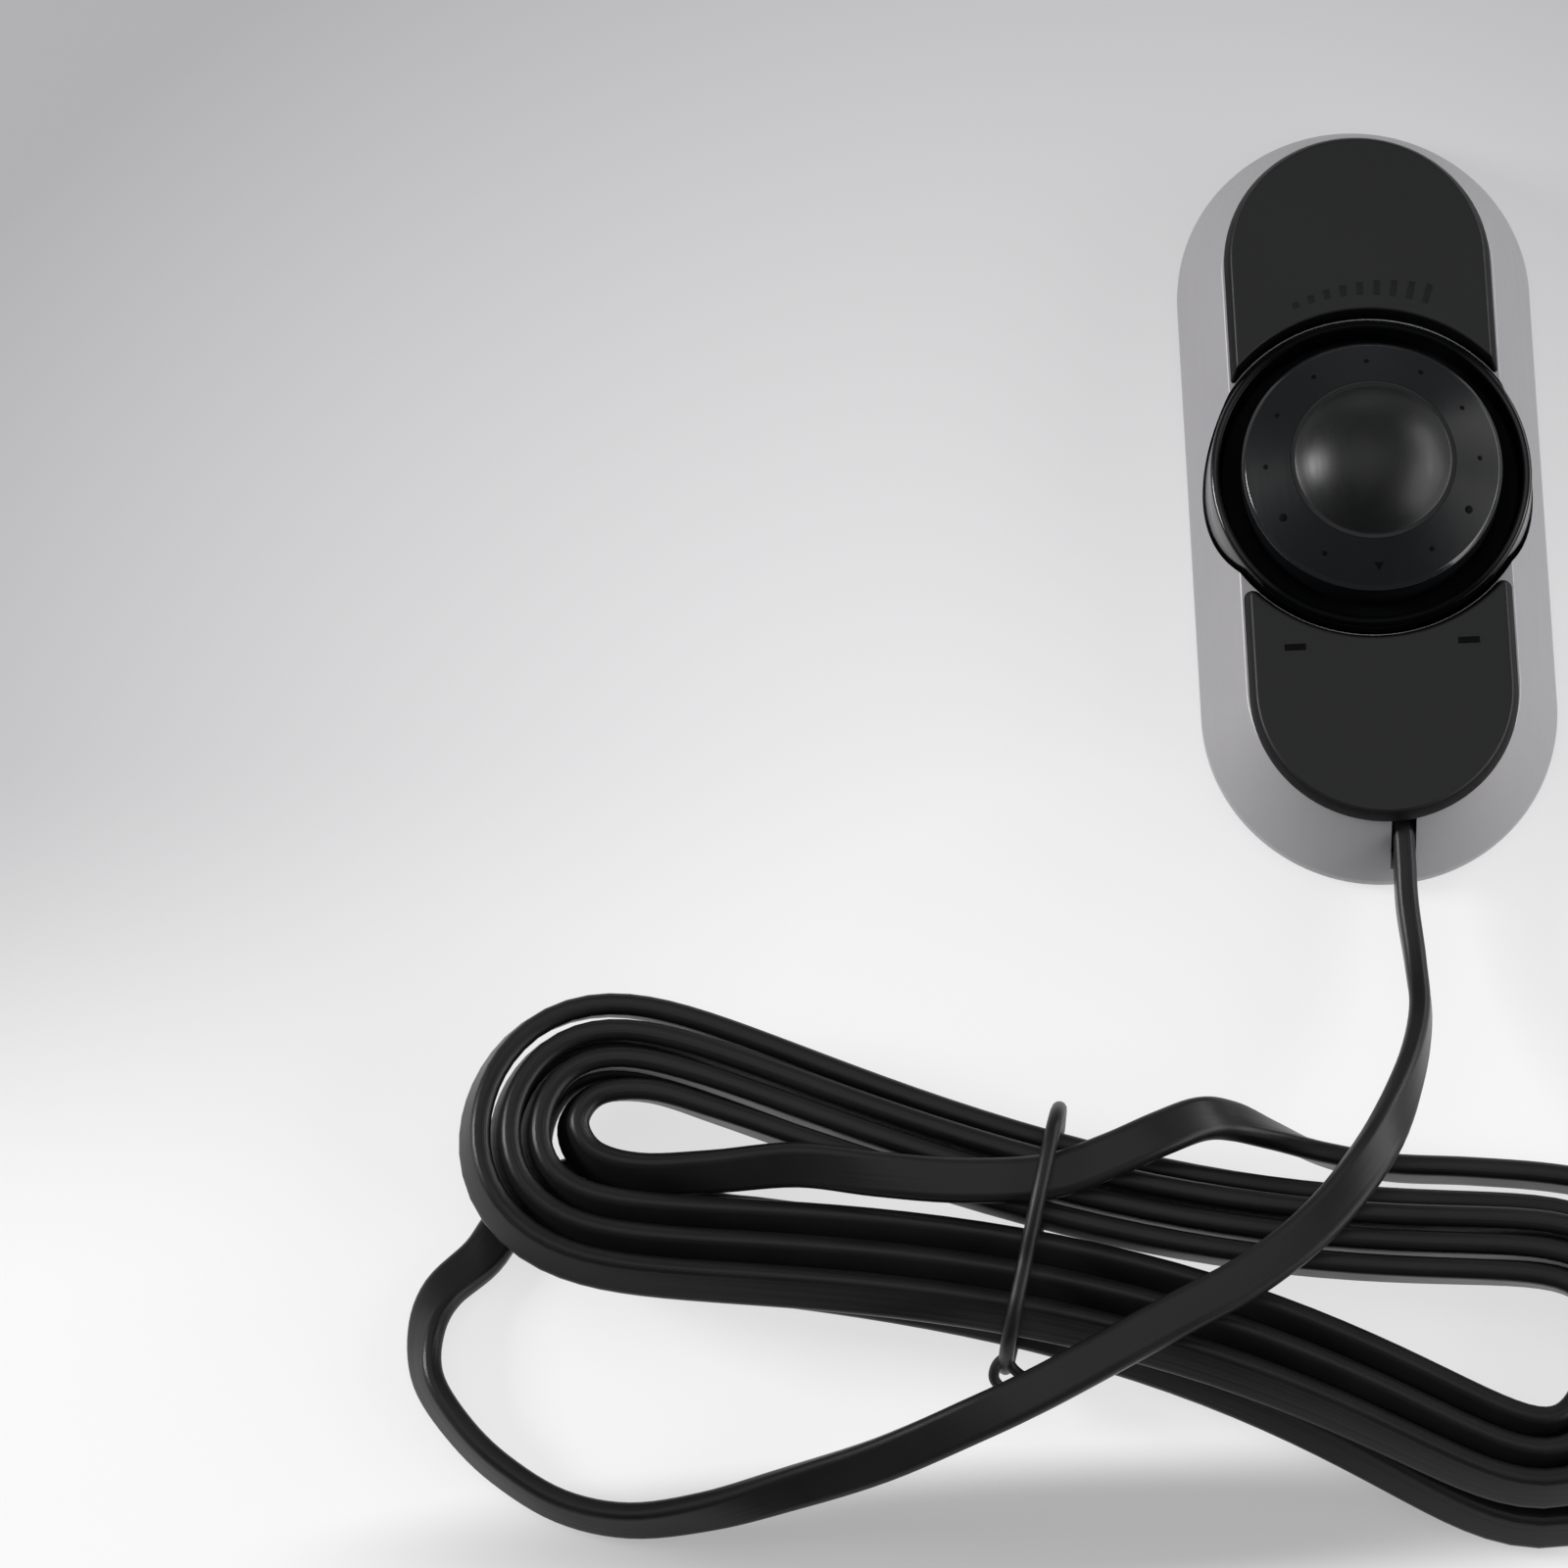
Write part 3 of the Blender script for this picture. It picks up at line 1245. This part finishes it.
class KNOB_OT_inside(Operator):
    """Gives the pieces that stay as they are their finishes."""

    bl_idname = "knob.inside"
    bl_label = "Inner pieces"
    # Finish, colour, roughness and its spread, grain to the metre and its depth in millimetres, share of
    # metal, how much lighter it gets in places, and the nodes that take it
    FINISHES = (
        ("plain steel", (0.56, 0.56, 0.57), 0.3, 0.06, 1800, 0.003, 1.0, 1.1, (
            "plate_screws", "cover_screws", "pot_shaft", "pot_nut", "pot_washer", "pot_terminals",
            "board_screws", "clamp_screws")),
        ("turned brass", (0.6, 0.44, 0.2), 0.28, 0.06, 1800, 0.003, 1.0, 1.25, ("pot_bushing",)),
        ("gilt contact", (0.83, 0.6, 0.22), 0.2, 0.04, 1500, 0.001, 1.0, 1.25, (
            "pot_wiper", "plug_contacts")),
        ("stamped metal", (0.5, 0.5, 0.49), 0.36, 0.06, 1500, 0.004, 1.0, 1.25, ("pot_housing",)),
        ("foot rubber", (0.018, 0.018, 0.018), 0.8, 0.08, 1500, 0.04, 0.0, 1.25, ("foot_pads",)),
        ("plate plastic", (0.012, 0.012, 0.0125), 0.55, 0.06, 1600, 0.03, 0.0, 1.25, (
            "bottom_plate", "cord_clamp")),
        ("rotor plastic", (0.72, 0.7, 0.62), 0.4, 0.05, 1500, 0.01, 0.0, 1.05, ("pot_rotor",)),
        ("wafer board", (0.16, 0.07, 0.025), 0.5, 0.06, 900, 0.01, 0.0, 1.25, ("pot_wafer",)),
        ("board mask", (0.01, 0.1, 0.035), 0.25, 0.05, 700, 0.006, 0.0, 1.25, ("circuit_board",)),
        ("chip plastic", (0.015, 0.015, 0.016), 0.5, 0.06, 2500, 0.01, 0.0, 1.25, ("board_parts",)),
        ("wire sleeve", (0.4, 0.02, 0.015), 0.35, 0.05, 900, 0.004, 0.0, 1.25, ("lead_wires",)))
    # Share of the light that the plug lets through
    CLEAR = 0.85

    def execute(self, context):
        for name, colour, rough, uneven, grain, depth, metal, lighten, nodes in self.FINISHES:
            self.dress(nodes, finish(name, colour, rough, uneven, grain, depth * MM, metal, lighten))
        plug = context.scene.knob_cord.plug
        clear = finish("clear plug plastic", plug, 0.16, 0.04, 400, 0.004 * MM, lighten=1.04)
        clear.node_tree.nodes["Principled BSDF"].inputs["Transmission Weight"].default_value = self.CLEAR
        self.dress(("plug_body", "plug_latch"), clear)
        return {"FINISHED"}

    def dress(self, nodes, material):
        """Gives nodes a finish."""
        for node in nodes:
            NODES[node].data.materials.clear()
            NODES[node].data.materials.append(material)


STEPS = (
    KNOB_OT_stage, KNOB_OT_tie, KNOB_OT_cord, KNOB_OT_case, KNOB_OT_covers, KNOB_OT_collar, KNOB_OT_dial,
    KNOB_OT_inside)
LOOKS = (
    ("knob_case", CaseLook), ("knob_dial", DialLook), ("knob_cord", CordLook), ("knob_stage", StageLook))


class KNOB_PT_pieces(Panel):
    """Lists the pieces of the knob."""

    bl_label = "Volume knob"
    bl_idname = "KNOB_PT_pieces"
    bl_space_type = "VIEW_3D"
    bl_region_type = "UI"
    bl_category = "Knob"

    def draw(self, context):
        for step in STEPS:
            self.layout.operator(step.bl_idname, text=step.bl_label)


def register():
    for name, look in LOOKS:
        bpy.utils.register_class(look)
        setattr(bpy.types.Scene, name, PointerProperty(type=look))
    for step in STEPS:
        bpy.utils.register_class(step)
    bpy.utils.register_class(KNOB_PT_pieces)


def unregister():
    bpy.utils.unregister_class(KNOB_PT_pieces)
    for step in reversed(STEPS):
        bpy.utils.unregister_class(step)
    for name, look in reversed(LOOKS):
        delattr(bpy.types.Scene, name)
        bpy.utils.unregister_class(look)


def main():
    """Makes every piece in order."""
    register()
    bpy.ops.knob.stage()
    bpy.ops.knob.tie()
    bpy.ops.knob.cord()
    bpy.ops.knob.case()
    bpy.ops.knob.covers()
    bpy.ops.knob.collar()
    bpy.ops.knob.dial()
    bpy.ops.knob.inside()


if __name__ == "__main__":
    main()
